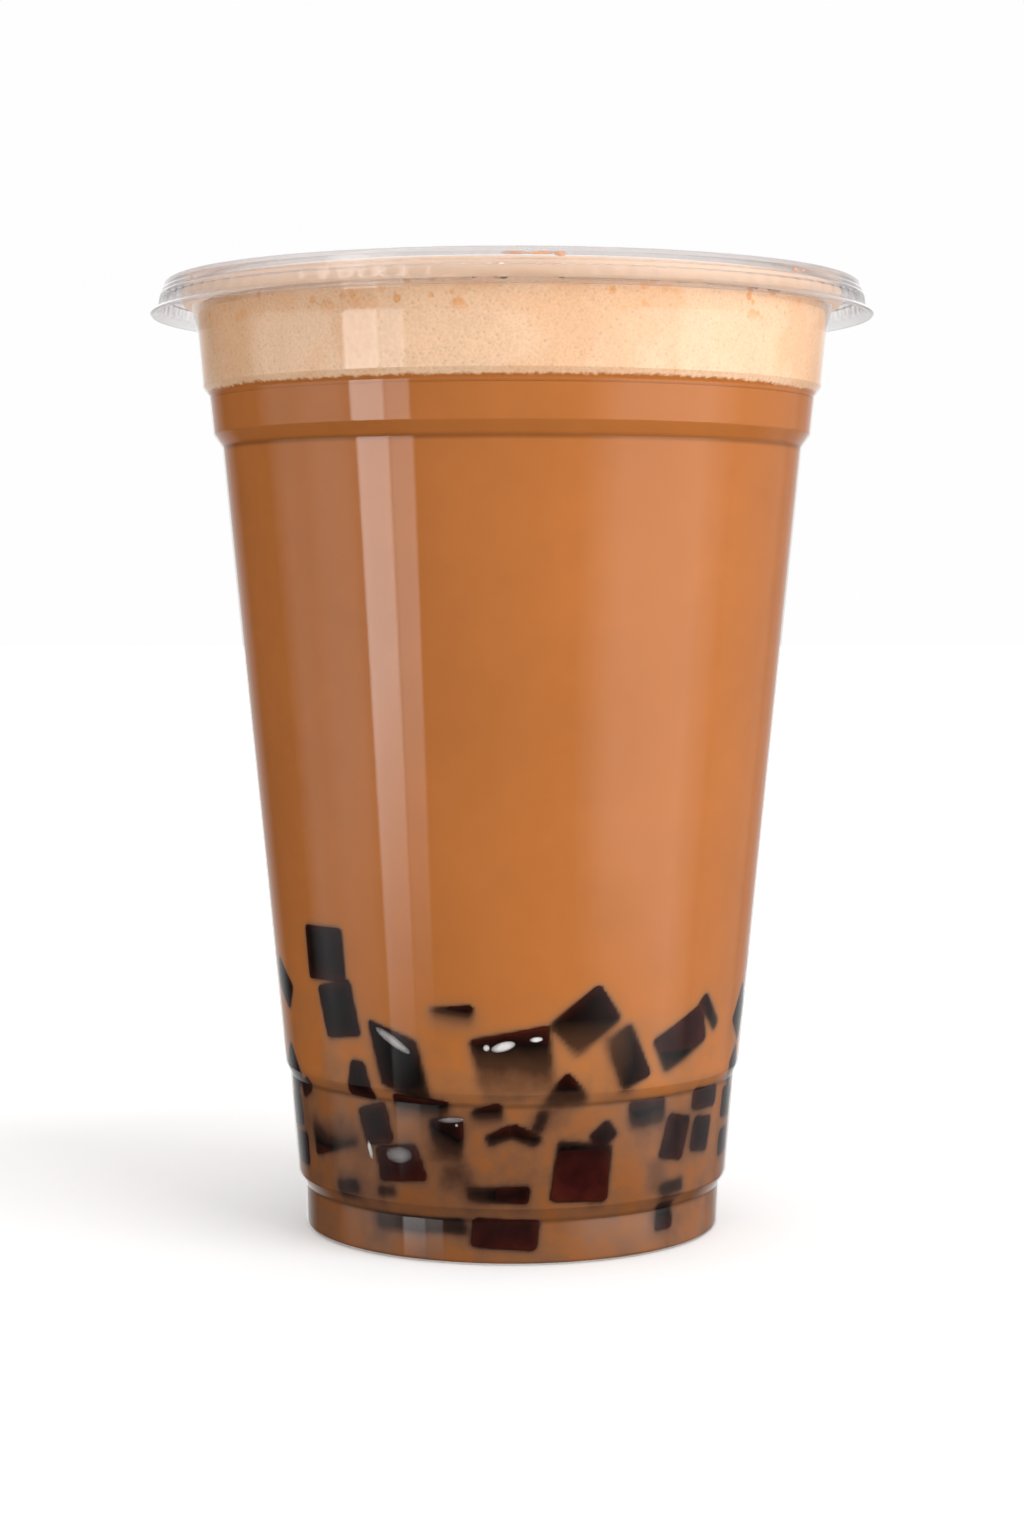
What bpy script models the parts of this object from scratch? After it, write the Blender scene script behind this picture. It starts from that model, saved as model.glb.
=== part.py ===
"""A lidded takeaway cup of milk tea with a deep head of foam.

Four solids, each turned about the Z axis: the thin clear cup with its stepped
wall and rolled rim, the clear snap-on lid with its ribbed skirt, the tea, and
the foam that fills the cup up to the lid. The origin is the centre of the
circle that the cup stands on. All sizes are in metres.
"""

import math

import bmesh
import bpy
from mathutils import Vector, noise

# Faces round the axis
CUP_SIDES = 60
LID_RIBS = 96

# Touching pieces keep this gap, and points closer than TINY are one
GAP = 0.0003
TINY = 1e-6

# Cup: every radius is of the outer wall
CUP_WALL = 0.0008
FOOT_RADIUS = 0.03115
FOOT_DRAFT = 0.0001
FOOT_FILLET = 0.0008
FOOT_RING_INNER = 0.0284
BASE_RECESS = 0.0024
RECESS_SLOPE = 0.0008
LOWER_STEP_HEIGHT = 0.0074
LOWER_STEP_RISE = 0.0018
LOWER_STEP_RADIUS = 0.03225
UPPER_STEP_HEIGHT = 0.0240
UPPER_STEP_RISE = 0.0016
UPPER_STEP_INNER = 0.0334
UPPER_STEP_RADIUS = 0.0341
LEDGE_HEIGHT = 0.1171
LEDGE_RISE = 0.0019
LEDGE_INNER = 0.0430
LEDGE_RADIUS = 0.0443
LIP_STEP_HEIGHT = 0.1243
LIP_STEP_RISE = 0.0013
LIP_STEP_INNER = 0.0449
LIP_STEP_RADIUS = 0.0458
FLARE_HEIGHT = 0.1326
FLARE_RADIUS = 0.0465
FLARE_FILLET = 0.002
RIM_RADIUS = 0.0489
RIM_HALF_WIDTH = 0.00115
RIM_HALF_HEIGHT = 0.0014
RIM_INNER = RIM_RADIUS - 2 * RIM_HALF_WIDTH
RIM_START = -75
CUP_HEIGHT = 0.1394
CURL_HEIGHT = CUP_HEIGHT - 2 * RIM_HALF_HEIGHT

# Drink
TEA_LEVEL = 0.1241
FOAM_SHOULDER = 0.0007
FOAM_RINGS = 6
FOAM_DIP = 0.0005
FOAM_LUMP_SIZE = 0.009

# Lid
LID_SHEET = 0.0006
LID_TOP = CUP_HEIGHT + GAP + LID_SHEET
PANEL_RECESS = 0.0012
PANEL_RADIUS = 0.0450
BEAD_SLOPE = 0.0006
BEAD_FILLET = 0.0009
LID_RADIUS = 0.0515
CREASE_HEIGHT = 0.1387
CREASE_STEP = 0.0002
RIB_TOP_HEIGHT = 0.1382
RIB_FOOT_HEIGHT = 0.1364
RIB_FOOT_RADIUS = 0.0523
RIB_DEPTH = 0.00028
LID_LIP_RADIUS = 0.0534
LID_LIP_HEIGHT = 0.1352


def step(inner, outer, height, rise):
    """Two corners of a step in the wall, narrow below and wide above."""
    return [
        (inner, height - rise / 2, rise / 3),
        (outer, height + rise / 2, rise / 3),
    ]


def rounded(corners, cuts=2):
    """Turn (radius, height, fillet) corners into points, each fillet an arc of a few cuts."""
    points = []
    for index, (radius, height, fillet) in enumerate(corners):
        corner = Vector((radius, height))
        if fillet == 0 or index in (0, len(corners) - 1):
            points.append(corner)
            continue
        before = Vector(corners[index - 1][:2]) - corner
        after = Vector(corners[index + 1][:2]) - corner
        half_angle = before.angle(after) / 2
        reach = min(fillet / math.tan(half_angle), before.length / 2, after.length / 2)
        start = corner + before.normalized() * reach
        end = corner + after.normalized() * reach
        for cut in range(cuts + 1):
            share = cut / cuts
            near = start.lerp(corner, share)
            far = corner.lerp(end, share)
            points.append(near.lerp(far, share))
    return points


def inset(corners, distance):
    """Move a run of corners sideways, to the left of its direction, and leave them sharp."""
    moved = []
    for index, corner in enumerate(corners):
        here = Vector(corner[:2])
        sides = []
        if index > 0:
            sides.append((here - Vector(corners[index - 1][:2])).normalized())
        if index < len(corners) - 1:
            sides.append((Vector(corners[index + 1][:2]) - here).normalized())
        normals = [Vector((-side.y, side.x)) for side in sides]
        across = sum(normals, Vector((0, 0))).normalized()
        place = here + across * distance / across.dot(normals[0])
        moved.append((place.x, place.y, 0))
    return moved


def ellipse(centre, half_width, half_height, first, last, cuts):
    """Points along part of an ellipse, from one angle to another, in degrees."""
    angles = [math.radians(first + (last - first) * cut / cuts) for cut in range(cuts + 1)]
    return [
        Vector((centre[0] + half_width * math.cos(a), centre[1] + half_height * math.sin(a)))
        for a in angles
    ]


def cut_above(corners, height):
    """The part of a rising run of corners below a height, ending exactly on it."""
    kept = []
    for corner, following in zip(corners, corners[1:]):
        kept.append(corner)
        if following[1] >= height:
            share = (height - corner[1]) / (following[1] - corner[1])
            kept.append((corner[0] + (following[0] - corner[0]) * share, height, 0))
            break
    return kept


def cut_below(corners, height):
    """The part of a rising run of corners above a height, starting exactly on it."""
    falling = [(radius, -z, fillet) for radius, z, fillet in reversed(corners)]
    return [(radius, -z, fillet) for radius, z, fillet in reversed(cut_above(falling, -height))]


def turned(name, outline, sides):
    """Spin an outline that starts and ends on the axis into one closed solid."""
    mesh = bpy.data.meshes.new(name)
    bm = bmesh.new()
    ring = [bm.verts.new((point[0], 0, point[1])) for point in outline]
    edges = [bm.edges.new(pair) for pair in zip(ring, ring[1:])]
    bmesh.ops.spin(
        bm,
        geom=ring + edges,
        cent=(0, 0, 0),
        axis=(0, 0, 1),
        angle=math.tau,
        steps=sides,
        use_merge=True,
    )
    bmesh.ops.remove_doubles(bm, verts=bm.verts, dist=TINY)
    bmesh.ops.recalc_face_normals(bm, faces=bm.faces)
    bm.to_mesh(mesh)
    bm.free()
    obj = bpy.data.objects.new(name, mesh)
    bpy.context.scene.collection.objects.link(obj)
    return obj


def shade(obj, sharp_angle=30):
    """Smooth shading with crisp edges where faces meet sharply."""
    obj.data.shade_smooth()
    obj.data.set_sharp_from_angle(angle=math.radians(sharp_angle))


def finish(obj, colour, roughness, transmission=0.0, ior=1.45):
    """Give an object its own Principled material."""
    material = bpy.data.materials.new(obj.name)
    material.use_nodes = True
    shader = material.node_tree.nodes["Principled BSDF"]
    shader.inputs["Base Color"].default_value = (*colour, 1)
    shader.inputs["Roughness"].default_value = roughness
    shader.inputs["Metallic"].default_value = 0
    shader.inputs["Transmission Weight"].default_value = transmission
    shader.inputs["IOR"].default_value = ior
    material.diffuse_color = (*colour, 1)
    obj.data.materials.append(material)


def outer_wall():
    """Corners of the cup's outer wall, from the floor up to the rolled rim."""
    foot = [(FOOT_RADIUS - FOOT_DRAFT, 0, FOOT_FILLET)]
    flare = [
        (FLARE_RADIUS, FLARE_HEIGHT, FLARE_FILLET),
        (RIM_INNER + CUP_WALL, CURL_HEIGHT, 0),
    ]
    return (
        foot
        + step(FOOT_RADIUS, LOWER_STEP_RADIUS, LOWER_STEP_HEIGHT, LOWER_STEP_RISE)
        + step(UPPER_STEP_INNER, UPPER_STEP_RADIUS, UPPER_STEP_HEIGHT, UPPER_STEP_RISE)
        + step(LEDGE_INNER, LEDGE_RADIUS, LEDGE_HEIGHT, LEDGE_RISE)
        + step(LIP_STEP_INNER, LIP_STEP_RADIUS, LIP_STEP_HEIGHT, LIP_STEP_RISE)
        + flare
    )


def inside(distance):
    """The outer wall moved inwards by a distance, with its foot cut level above the floor."""
    return cut_below(inset(outer_wall(), distance), distance)


def base(distance):
    """The recessed base, from the axis to the foot ring, moved into the cup by a distance."""
    edge = FOOT_RING_INNER + distance
    return [
        (0, BASE_RECESS + distance, 0),
        (edge - RECESS_SLOPE, BASE_RECESS + distance, 0),
        (edge, distance, 0),
    ]


def make_cup():
    """The thin cup: recessed base, foot ring, stepped wall and rolled rim."""
    outside = rounded(base(0) + outer_wall())
    rim_centre = (RIM_RADIUS - RIM_HALF_WIDTH, CUP_HEIGHT - RIM_HALF_HEIGHT)
    rim = ellipse(rim_centre, RIM_HALF_WIDTH, RIM_HALF_HEIGHT, RIM_START, 180, 9)
    wall = inside(CUP_WALL)[:-1] + [(RIM_INNER, CURL_HEIGHT, 0)]
    within = rounded(base(CUP_WALL) + wall)
    cup = turned("cup", outside + rim + within[::-1], CUP_SIDES)
    shade(cup)
    finish(cup, (0.93, 0.93, 0.92), 0.04, transmission=1.0, ior=1.57)


def make_tea():
    """The milk tea, a gap inside the cup's wall and floor, up to its level."""
    skin = CUP_WALL + GAP
    wall = cut_above(inside(skin), TEA_LEVEL)
    outline = rounded(base(skin) + wall) + [Vector((0, TEA_LEVEL))]
    tea = turned("tea", outline, CUP_SIDES)
    shade(tea)
    finish(tea, (0.42, 0.17, 0.055), 0.35)


def make_foam():
    """The head of foam, from the tea up to the lid, with a lumpy top."""
    bottom = TEA_LEVEL + GAP
    top = LID_TOP - PANEL_RECESS - LID_SHEET - GAP
    wall = cut_below(inside(CUP_WALL + GAP), bottom)[:-1]
    radius = RIM_INNER - GAP
    shoulder = [
        (radius, CURL_HEIGHT, 0),
        (radius, top - FOAM_SHOULDER, 0),
    ]
    top_radius = radius - FOAM_SHOULDER
    rings = [(top_radius * (1 - ring / FOAM_RINGS), top, 0) for ring in range(FOAM_RINGS + 1)]
    outline = [Vector((0, bottom))] + rounded(wall + shoulder + rings)
    foam = turned("foam", outline, CUP_SIDES)
    for vertex in foam.data.vertices:
        if vertex.co.z > top - FOAM_SHOULDER / 2:
            lump = noise.noise(vertex.co / FOAM_LUMP_SIZE)
            vertex.co.z -= FOAM_DIP * (1 + lump) / 2
    shade(foam)
    finish(foam, (0.87, 0.62, 0.39), 0.75)


def press_ribs(lid):
    """Press a groove between neighbouring ribs, all round the skirt."""
    bm = bmesh.new()
    bm.from_mesh(lid.data)
    rib_rings = []
    for edge in bm.edges:
        low, high = sorted(vertex.co.z for vertex in edge.verts)
        radius = edge.verts[0].co.xy.length
        level = high - low < TINY
        in_band = RIB_FOOT_HEIGHT - TINY < low < RIB_TOP_HEIGHT + TINY
        if level and in_band and radius > LID_RADIUS:
            rib_rings.append(edge)
    made = bmesh.ops.subdivide_edges(bm, edges=rib_rings, cuts=1)
    for vertex in made["geom_inner"]:
        if isinstance(vertex, bmesh.types.BMVert):
            vertex.co.xy -= vertex.co.xy.normalized() * RIB_DEPTH
    bm.to_mesh(lid.data)
    bm.free()


def make_lid():
    """The clear lid: recessed panel, stacking bead, ribbed skirt and flared lip."""
    upper = [
        (0, LID_TOP - PANEL_RECESS, 0),
        (PANEL_RADIUS, LID_TOP - PANEL_RECESS, 0),
        (PANEL_RADIUS + BEAD_SLOPE, LID_TOP, 0),
        (LID_RADIUS, LID_TOP, BEAD_FILLET),
        (LID_RADIUS + CREASE_STEP, CREASE_HEIGHT, 0),
        (LID_RADIUS + 2 * CREASE_STEP, RIB_TOP_HEIGHT, 0),
        (RIB_FOOT_RADIUS, RIB_FOOT_HEIGHT, 0),
        (LID_LIP_RADIUS, LID_LIP_HEIGHT + LID_SHEET / 2, 0),
    ]
    plain_wall = upper[:5] + upper[-2:]
    lower = inset(plain_wall, -LID_SHEET)
    lower[-1] = (LID_LIP_RADIUS - LID_SHEET / 2, LID_LIP_HEIGHT, 0)
    lid = turned("lid", rounded(upper) + rounded(lower)[::-1], LID_RIBS)
    press_ribs(lid)
    shade(lid, sharp_angle=25)
    finish(lid, (0.93, 0.93, 0.93), 0.05, transmission=1.0, ior=1.57)


for leftover in list(bpy.data.objects):
    bpy.data.objects.remove(leftover, do_unlink=True)

make_cup()
make_tea()
make_foam()
make_lid()
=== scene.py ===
# %% [markdown]
# # A shut cup of milk tea with jelly cubes
# A takeaway drink looks simple, but it is four things behind one another: a thin clear cup, an
# opaque milky drink, dark cubes that press against the wall, and a head of foam under a clear lid.
# This lesson builds each one as its own mesh around a fixed frame, which gives the real sizes.
# Everything is in metres, with the cup standing on the origin and the shown side towards -Y.

# %% Load the frame and keep its box
import math
import random

import bmesh
import bpy
import numpy as np
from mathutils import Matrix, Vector, noise
from mathutils.bvhtree import BVHTree


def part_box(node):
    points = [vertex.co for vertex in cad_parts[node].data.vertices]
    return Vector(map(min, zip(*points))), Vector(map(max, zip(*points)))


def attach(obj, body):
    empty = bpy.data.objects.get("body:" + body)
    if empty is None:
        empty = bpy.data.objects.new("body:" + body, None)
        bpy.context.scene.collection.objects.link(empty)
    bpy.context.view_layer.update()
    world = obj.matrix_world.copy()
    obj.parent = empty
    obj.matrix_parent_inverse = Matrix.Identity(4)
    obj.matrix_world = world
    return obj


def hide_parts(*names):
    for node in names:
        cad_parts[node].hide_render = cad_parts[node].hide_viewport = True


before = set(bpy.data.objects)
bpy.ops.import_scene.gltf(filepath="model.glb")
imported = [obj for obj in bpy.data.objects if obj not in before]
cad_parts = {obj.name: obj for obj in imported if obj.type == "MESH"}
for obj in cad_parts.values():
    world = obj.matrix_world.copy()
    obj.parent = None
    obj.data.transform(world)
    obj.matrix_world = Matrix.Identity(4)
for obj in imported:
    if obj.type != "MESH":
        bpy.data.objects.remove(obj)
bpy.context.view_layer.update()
MM = 0.001
print("frame nodes:", sorted(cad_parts))

# %% [markdown]
# ## Sizes
# The frame's boxes give the heights and the widest radii, so that the visible pieces can't drift
# away from the solids. The steps in the wall are the cup's own design and are named here.

# %% Sizes from the frame and of the wall's steps
CUP_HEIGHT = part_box("cup")[1].z
RIM_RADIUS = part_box("cup")[1].x
LID_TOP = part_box("lid")[1].z
LIP_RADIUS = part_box("lid")[1].x
LIP_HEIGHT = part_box("lid")[0].z
TEA_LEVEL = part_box("tea")[1].z
FOAM_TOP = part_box("foam")[1].z

CUP_WALL = 0.8 * MM
FOOT_RADIUS = 31.15 * MM
FOOT_RING_INNER = 28.4 * MM
BASE_RECESS = 2.4 * MM
RIM_HALF_WIDTH = 1.15 * MM
RIM_HALF_HEIGHT = 1.4 * MM
RIM_INNER = RIM_RADIUS - 2 * RIM_HALF_WIDTH
CURL_HEIGHT = CUP_HEIGHT - 2 * RIM_HALF_HEIGHT
LID_SHEET = 0.6 * MM
JELLY_TOP = 52 * MM

print(f"cup {CUP_HEIGHT / MM:.1f} mm tall, rim radius {RIM_RADIUS / MM:.1f} mm")
print(f"tea filled to {TEA_LEVEL / MM:.1f} mm")

# %% [markdown]
# ## Outlines
# Cup, lid, tea and foam are all turned shapes, so each starts as a half outline in radius and
# height. A fillet could be left to a Bevel modifier, but an outline that is rounded before it is
# spun keeps its rows where a later step wants them, such as close together behind the jelly.

# %% Corners and curves of an outline
def step(inner, outer, height, rise):
    """Two corners of a step in the wall, narrow below and wide above, in millimetres."""
    fillet = rise * 0.42
    return [
        (inner * MM, (height - rise / 2) * MM, fillet * MM),
        (outer * MM, (height + rise / 2) * MM, fillet * MM),
    ]


def rounded(corners, cuts=5):
    """Replace each corner's point by a curve of the length that its fillet asks for."""
    points = []
    for index, (radius, height, fillet) in enumerate(corners):
        corner = Vector((radius, height))
        if fillet == 0 or index in (0, len(corners) - 1):
            points.append(corner)
            continue
        before = Vector(corners[index - 1][:2]) - corner
        after = Vector(corners[index + 1][:2]) - corner
        reach = min(fillet / math.tan(before.angle(after) / 2), before.length / 2, after.length / 2)
        start = corner + before.normalized() * reach
        end = corner + after.normalized() * reach
        for cut in range(cuts + 1):
            share = cut / cuts
            points.append(start.lerp(corner, share).lerp(corner.lerp(end, share), share))
    return points


def inset(points, distance):
    """Move a run of points sideways, to the left of its direction."""
    moved = []
    for index, here in enumerate(points):
        before = here - points[max(index - 1, 0)]
        after = points[min(index + 1, len(points) - 1)] - here
        along = (before.normalized() + after.normalized()).normalized()
        moved.append(here + Vector((-along.y, along.x)) * distance)
    return moved


def dense(points, spacing):
    """Add points so that no stretch is longer than the spacing asked for where it starts."""
    filled = [points[0]]
    for start, end in zip(points, points[1:]):
        count = max(1, math.ceil((end - start).length / spacing(start)))
        filled += [start.lerp(end, cut / count) for cut in range(1, count + 1)]
    return filled


def ellipse(centre, half_width, half_height, first, last, cuts):
    """Points along part of an ellipse, between two angles in degrees."""
    angles = np.radians(np.linspace(first, last, cuts + 1))
    return [centre + Vector((half_width * math.cos(a), half_height * math.sin(a))) for a in angles]


# %% From an outline to a piece
SECTORS = 8
MERGE_DISTANCE = 0.001 * MM


def finished(name, bm):
    """Turn a bmesh into an object that is shaded smooth and rides on the part's one body."""
    mesh = bpy.data.meshes.new(name)
    bm.to_mesh(mesh)
    bm.free()
    mesh.shade_smooth()
    obj = bpy.data.objects.new(name, mesh)
    bpy.context.scene.collection.objects.link(obj)
    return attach(obj, "root")


def spun(outline, sides):
    """Spin a half outline round the axis, which it may touch, and return the bmesh.

    One sector is spun and then copied round, which is much quicker than one spin of many steps.
    """
    bm = bmesh.new()
    ring = [bm.verts.new((point[0], 0, point[1])) for point in outline]
    edges = [bm.edges.new(pair) for pair in zip(ring, ring[1:])]
    sector = math.tau / SECTORS
    upright = {"cent": (0, 0, 0), "axis": (0, 0, 1)}
    bmesh.ops.spin(bm, geom=ring + edges, angle=sector, steps=sides // SECTORS, **upright)
    bmesh.ops.spin(bm, geom=bm.verts[:] + bm.edges[:] + bm.faces[:], angle=math.tau - sector,
                   steps=SECTORS - 1, use_duplicate=True, **upright)
    bmesh.ops.remove_doubles(bm, verts=bm.verts, dist=MERGE_DISTANCE)
    bmesh.ops.recalc_face_normals(bm, faces=bm.faces)
    return bm


# %% The cup's outer wall
def outer_wall():
    """The cup's outer wall from its foot to the rolled rim, as corners."""
    return (
        [(31.05 * MM, 0, 0.8 * MM)]
        + step(31.15, 32.25, 7.4, 1.8)
        + step(33.4, 34.1, 24.0, 1.6)
        + step(43.0, 44.3, 117.1, 1.9)
        + step(44.9, 45.8, 124.3, 1.3)
        + [(46.5 * MM, 132.6 * MM, 2.5 * MM), (RIM_INNER + CUP_WALL, CURL_HEIGHT, 0)]
    )


def base():
    """The recessed underside, from the axis out to the ring that the cup stands on."""
    return [
        (0, BASE_RECESS, 0),
        (FOOT_RING_INNER - 0.8 * MM, BASE_RECESS, 0.5 * MM),
        (FOOT_RING_INNER, 0, 0.3 * MM),
    ]


outside = rounded(base() + outer_wall())
print("points on the outer wall:", len(outside))

# %% [markdown]
# ## Camera
# The picture was taken from a little above the middle of the cup with a long lens, so the base
# shows as a shallow curve and the lid is seen from slightly below. A camera could aim itself with a
# constraint, but a plain place and tilt are easier to fit to the curves of the rim and the foot. It
# comes first, because the panels and the softbox are placed by where they show in the wall.

# %% Camera
LENS = 67.5
CAMERA_DISTANCE = 431.7 * MM
CAMERA_HEIGHT = 96.1 * MM
CAMERA_TILT = 86.334
camera_data = bpy.data.cameras.new("camera")
camera_data.lens = LENS
camera_data.sensor_width = 36
camera = bpy.data.objects.new("camera", camera_data)
camera.location = (0, -CAMERA_DISTANCE, CAMERA_HEIGHT)
camera.rotation_euler = (math.radians(CAMERA_TILT), 0, 0)
bpy.context.scene.collection.objects.link(camera)
bpy.context.scene.camera = camera
bpy.context.scene.view_settings.view_transform = "Standard"
print("camera", tuple(round(c, 3) for c in camera.location))

# %% [markdown]
# ## Node helpers
# A material is a small network. Each could be wired up by hand, but then a reader sees more wiring
# than meaning. These helpers make a material, turn a picture editor's colour into a linear one, add
# a node with its values, and mix, multiply or stretch what comes out of other nodes.

# %% Node helpers
def colour(red, green, blue):
    """A colour from 0 to 255 as a picture editor shows it, made linear for the shader."""
    linear = [((c / 255 + 0.055) / 1.055) ** 2.4 if c > 10 else c / 255 / 12.92 for c in (red, green, blue)]
    return (*linear, 1)


def principled(name, **values):
    """A new material and its Principled shader, with constants set on the shader's sockets."""
    material = bpy.data.materials.new(name)
    material.use_nodes = True
    shader = material.node_tree.nodes["Principled BSDF"]
    for socket, value in values.items():
        shader.inputs[socket.replace("_", " ")].default_value = value
    return material, material.node_tree, shader


def add(tree, kind, **settings):
    """Add a node. Settings that name an input set its value, and the others set the node itself."""
    node = tree.nodes.new(kind)
    for name, value in settings.items():
        plain = name.replace("_", " ")
        if plain in node.inputs:
            node.inputs[plain].default_value = value
        else:
            setattr(node, name, value)
    return node


def ramp(tree, stops):
    """A colour ramp with stops of (position, colour)."""
    node = tree.nodes.new("ShaderNodeValToRGB")
    elements = node.color_ramp.elements
    while len(elements) < len(stops):
        elements.new(0.5)
    for element, (position, shade) in zip(elements, stops):
        element.position = position
        element.color = shade
    return node


def shaded(tree, source, shade):
    """Multiply a colour output by a shade output."""
    mix = add(tree, "ShaderNodeMix", data_type="RGBA", blend_type="MULTIPLY")
    mix.inputs[0].default_value = 1
    tree.links.new(source, mix.inputs[6])
    tree.links.new(shade, mix.inputs[7])
    return mix.outputs[2]


def blended(tree, share, first, second):
    """Mix two colours, each a constant or an output, by a share output."""
    mix = add(tree, "ShaderNodeMix", data_type="RGBA")
    tree.links.new(share, mix.inputs[0])
    for socket, value in ((mix.inputs[6], first), (mix.inputs[7], second)):
        if isinstance(value, tuple):
            socket.default_value = value
        else:
            tree.links.new(value, socket)
    return mix.outputs[2]


def combined(tree, operation, first, second):
    """A math node on two outputs, or on an output and a number."""
    node = add(tree, "ShaderNodeMath", operation=operation)
    for socket, value in zip(node.inputs, (first, second)):
        if isinstance(value, (int, float)):
            socket.default_value = value
        else:
            tree.links.new(value, socket)
    return node.outputs[0]


def spread(tree, value, low, high, to_low=0.0, to_high=1.0):
    """Map an output from one range to another, held at both ends."""
    node = add(tree, "ShaderNodeMapRange", From_Min=low, From_Max=high, To_Min=to_low, To_Max=to_high)
    tree.links.new(value, node.inputs["Value"])
    return node.outputs["Result"]


# %% [markdown]
# ### Clouds, a group that several materials use
# Milk never mixes quite evenly, and foam is paler in some places than in others. Both are a slow
# noise in Object coordinates that changes the shade by a few per cent. It is built once, as a group
# with named sockets, and each material places it with a size and two shades of its own.

# %% The cloud group
def make_clouds():
    """A group that turns a size and two shades into a cloudy shade."""
    tree = bpy.data.node_groups.new("Clouds", "ShaderNodeTree")
    for label in ("Size", "Lowest", "Highest"):
        tree.interface.new_socket(label, in_out="INPUT", socket_type="NodeSocketFloat")
    tree.interface.new_socket("Shade", in_out="OUTPUT", socket_type="NodeSocketFloat")
    start = tree.nodes.new("NodeGroupInput")
    end = tree.nodes.new("NodeGroupOutput")
    place = add(tree, "ShaderNodeTexCoord")
    scale = add(tree, "ShaderNodeMath", operation="DIVIDE")
    scale.inputs[0].default_value = 1
    tree.links.new(start.outputs["Size"], scale.inputs[1])
    cloud = add(tree, "ShaderNodeTexNoise", Detail=4.0, Roughness=0.55)
    tree.links.new(place.outputs["Object"], cloud.inputs["Vector"])
    tree.links.new(scale.outputs[0], cloud.inputs["Scale"])
    shade = add(tree, "ShaderNodeMapRange", From_Min=0.3, From_Max=0.7)
    tree.links.new(cloud.outputs["Fac"], shade.inputs["Value"])
    tree.links.new(start.outputs["Lowest"], shade.inputs["To Min"])
    tree.links.new(start.outputs["Highest"], shade.inputs["To Max"])
    tree.links.new(shade.outputs["Result"], end.inputs["Shade"])
    return tree


CLOUDS = make_clouds()
print("nodes in the cloud group:", len(CLOUDS.nodes))


def clouds(tree, size, lowest, highest):
    """Place the cloud group in a material with its own values and return its shade."""
    node = tree.nodes.new("ShaderNodeGroup")
    node.node_tree = CLOUDS
    node.inputs["Size"].default_value = size
    node.inputs["Lowest"].default_value = lowest
    node.inputs["Highest"].default_value = highest
    return node.outputs["Shade"]


# %% [markdown]
# ## The clear cup
# The real cup is one sheet of clear plastic under half a millimetre thick, drawn into a mould.
# Modelling it as refracting glass would starve the drink behind it of light and fill the picture
# with noise. A thin sheet hardly bends light, so its material lets light straight through and only
# adds the gloss of its surface, which Fresnel makes strong where the wall turns away. From behind,
# Fresnel would take the sheet for a solid that traps light, so its index is turned over there. The
# lid's sheet is pressed more sharply and shows a grey cast where it is seen edge-on. The rolled rim
# is a tight curl of the same sheet that carries some of the foam's light round with it. That light
# is painted on as a half-clear peach coat instead.

# %% Clear materials
def make_clear_film(name, face_on, edge_on, roughness=0.04, index=1.5):
    """A thin clear film: transparent, with a gloss, and tinted where it turns away."""
    material = bpy.data.materials.new(name)
    material.use_nodes = True
    tree = material.node_tree
    tree.nodes.remove(tree.nodes["Principled BSDF"])
    through = add(tree, "ShaderNodeBsdfTransparent")
    weight = add(tree, "ShaderNodeLayerWeight", Blend=0.5)
    turned_away = combined(tree, "POWER", weight.outputs["Facing"], 4)
    tree.links.new(blended(tree, turned_away, face_on, edge_on), through.inputs["Color"])
    gloss = add(tree, "ShaderNodeBsdfGlossy", Color=(1, 1, 1, 1), Roughness=roughness)
    fresnel = add(tree, "ShaderNodeFresnel")
    side = add(tree, "ShaderNodeNewGeometry")
    tree.links.new(spread(tree, side.outputs["Backfacing"], 0, 1, index, 1 / index), fresnel.inputs["IOR"])
    rays = add(tree, "ShaderNodeLightPath")
    seen = spread(tree, rays.outputs["Is Shadow Ray"], 0, 1, 1, 0)
    mix = add(tree, "ShaderNodeMixShader")
    tree.links.new(combined(tree, "MULTIPLY", fresnel.outputs[0], seen), mix.inputs[0])
    tree.links.new(through.outputs[0], mix.inputs[1])
    tree.links.new(gloss.outputs[0], mix.inputs[2])
    tree.links.new(mix.outputs[0], tree.nodes["Material Output"].inputs["Surface"])
    return material


CLEAR_SHEET = make_clear_film("clear_sheet", (0.99, 0.99, 0.99, 1), (0.92, 0.86, 0.80, 1))
# Painted light: the foam's light that the clear curl carries round, as a half-clear peach coat.
ROLLED_RIM, _, _ = principled(
    "rolled_rim", Base_Color=colour(240, 204, 172), Roughness=0.3, IOR=1.4, Alpha=0.62
)
LID_SHEET_FILM = make_clear_film("lid_sheet", (0.99, 0.985, 0.985, 1), (0.56, 0.51, 0.50, 1), 0.1, 1.3)

# %% Cup mesh
CUP_SIDES = 184
RIM_FROM, RIM_TO = -75, 180
rim_centre = Vector((RIM_RADIUS - RIM_HALF_WIDTH, CUP_HEIGHT - RIM_HALF_HEIGHT))
rim = ellipse(rim_centre, RIM_HALF_WIDTH, RIM_HALF_HEIGHT, RIM_FROM, RIM_TO, 16)
inner_wall = inset(outside, CUP_WALL)[:-1] + [Vector((RIM_INNER, CURL_HEIGHT))]
inner_wall[0].x = 0
cup = finished("clear_cup", spun(outside + rim + inner_wall[::-1], CUP_SIDES))
cup.data.materials.append(CLEAR_SHEET)
cup.data.materials.append(ROLLED_RIM)
for face in cup.data.polygons:
    on_rim = face.center.z > CURL_HEIGHT and face.center.xy.length > RIM_INNER + 0.1 * MM
    face.material_index = 1 if on_rim else 0
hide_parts("cup")
print("cup faces:", len(cup.data.polygons))
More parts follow.
